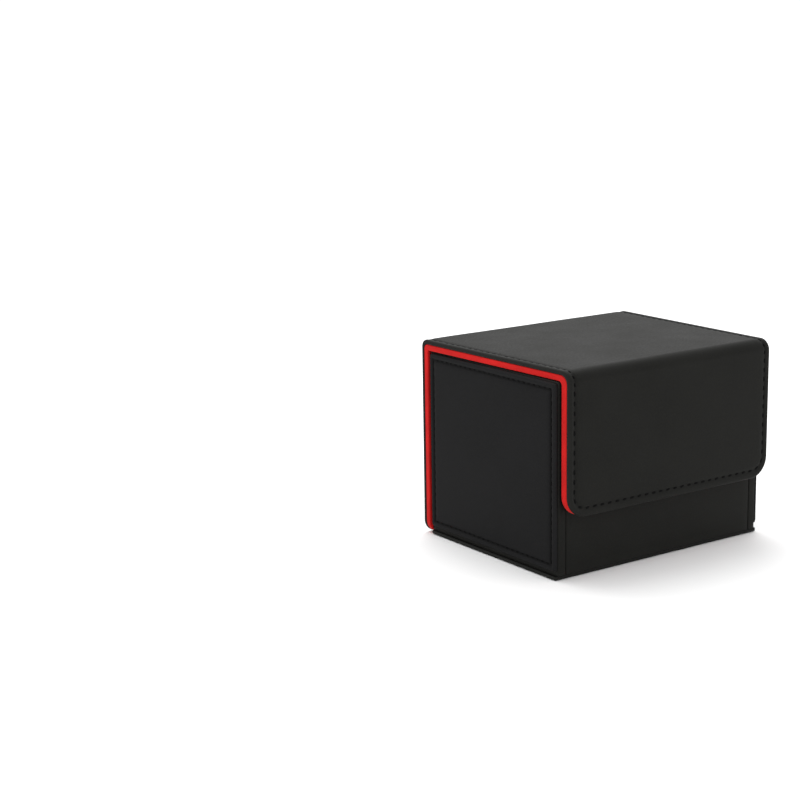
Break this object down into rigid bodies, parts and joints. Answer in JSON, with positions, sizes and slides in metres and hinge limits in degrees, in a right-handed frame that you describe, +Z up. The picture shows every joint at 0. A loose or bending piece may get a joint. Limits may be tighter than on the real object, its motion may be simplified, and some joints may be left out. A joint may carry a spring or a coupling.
{
  "type": "card deck box",
  "caption": "Flip-top deck box for trading cards: leather-covered board body in a red-lined wrap whose lid folds over into a magnetic front flap.",
  "frame": {"origin": "middle of the closed box's footprint, on the surface that it stands on", "axes": "+Z up, +X to the right seen from the front, -Y towards the front flap"},
  "size_m": [0.1264, 0.106, 0.095],
  "materials": {
    "black_leather": "satin",
    "side_leather": "satin",
    "black_thread": "matte",
    "red_lining": "matte",
    "grey_board": "matte",
    "magnet": "satin"
  },
  "bodies": {
    "box": {"base_cover": "black_leather", "base_board": "grey_board", "left_wall_cover": "black_leather", "left_wall_board": "grey_board", "left_wall_lining": "red_lining", "right_wall_cover": "black_leather", "right_wall_board": "grey_board", "right_wall_lining": "red_lining", "front_wall_cover": "black_leather", "front_wall_board": "grey_board", "front_wall_lining": "red_lining", "wall_magnet_left": "magnet", "wall_magnet_right": "magnet", "rear_wall_board": "grey_board", "rear_wall_lining": "red_lining", "floor_board": "grey_board", "floor_lining": "red_lining", "left_side_panel": "side_leather", "left_side_panel_board": "grey_board", "left_side_thread": "black_thread", "right_side_panel": "side_leather", "right_side_panel_board": "grey_board", "right_side_thread": "black_thread", "back_cover": "black_leather", "back_board": "grey_board", "back_lining": "red_lining", "back_lining_board": "grey_board", "back_thread": "black_thread", "rear_fold_cover": "black_leather", "rear_fold_lining": "red_lining"},
    "lid": {"lid_cover": "black_leather", "lid_board": "grey_board", "lid_lining": "red_lining", "lid_lining_board": "grey_board", "lid_thread_left": "black_thread", "lid_thread_right": "black_thread", "front_fold_cover": "black_leather", "front_fold_lining": "red_lining"},
    "flap": {"flap_cover": "black_leather", "flap_board": "grey_board", "flap_lining": "red_lining", "flap_lining_board": "grey_board", "flap_thread": "black_thread", "flap_magnet_left": "magnet", "flap_magnet_right": "magnet"}
  },
  "joints": [
    {"name": "lid_hinge", "type": "hinge", "parent": "box", "child": "lid", "pos_m": [0, 0.0502, 0.0926], "axis": [-1, 0, 0], "range_deg": [0, 175], "deforming": ["rear_fold_cover", "rear_fold_lining"]},
    {"name": "flap_hinge", "type": "hinge", "parent": "lid", "child": "flap", "pos_m": [0, -0.0502, 0.0926], "axis": [-1, 0, 0], "range_deg": [0, 175], "deforming": ["front_fold_cover", "front_fold_lining"]}
  ]
}
